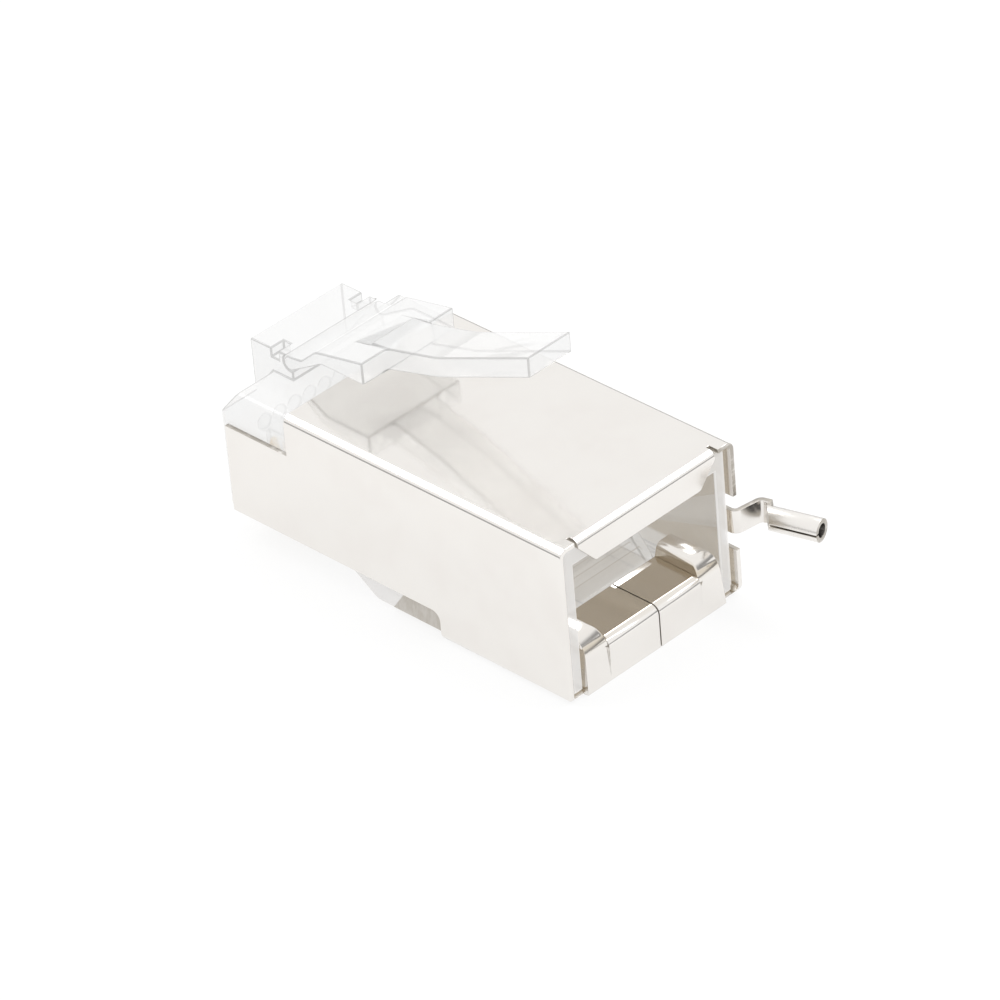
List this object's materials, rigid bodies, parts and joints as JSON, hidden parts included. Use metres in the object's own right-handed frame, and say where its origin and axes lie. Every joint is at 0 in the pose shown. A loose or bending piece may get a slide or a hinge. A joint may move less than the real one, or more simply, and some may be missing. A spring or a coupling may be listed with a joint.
{
  "type": "rj45 modular plug",
  "caption": "Shielded modular data plug, not yet crimped: clear moulding with a sprung latch, flat contacts, folded metal shell and a rolled barrel for the drain wire.",
  "frame": {"origin": "middle of the flat underside of the shell's bottom flaps, which the plug lies on, on the mid-plane between the contacts", "axes": "+X across the plug, towards the side with the drain barrel; +Y the way the plug is pushed into a jack; +Z towards the latch"},
  "size_m": [0.0143, 0.0269, 0.0148],
  "materials": {
    "clear_plastic": "water-clear moulded polycarbonate",
    "nickel_plate": "bright nickel plate on thin sheet",
    "gold_plate": "gold plate"
  },
  "bodies": {
    "plug": {"housing": "clear_plastic", "shield": "nickel_plate", "contact_1": "gold_plate", "contact_2": "gold_plate", "contact_3": "gold_plate", "contact_4": "gold_plate", "contact_5": "gold_plate", "contact_6": "gold_plate", "contact_7": "gold_plate", "contact_8": "gold_plate"},
    "latch": {"latch": "clear_plastic"}
  },
  "joints": [
    {"name": "latch_flex", "type": "hinge", "parent": "plug", "child": "latch", "pos_m": [0, 0.0147, 0.0094], "axis": [1, 0, 0], "range_deg": [0, 13], "stiffness_Nm_per_rad": 0.3}
  ]
}
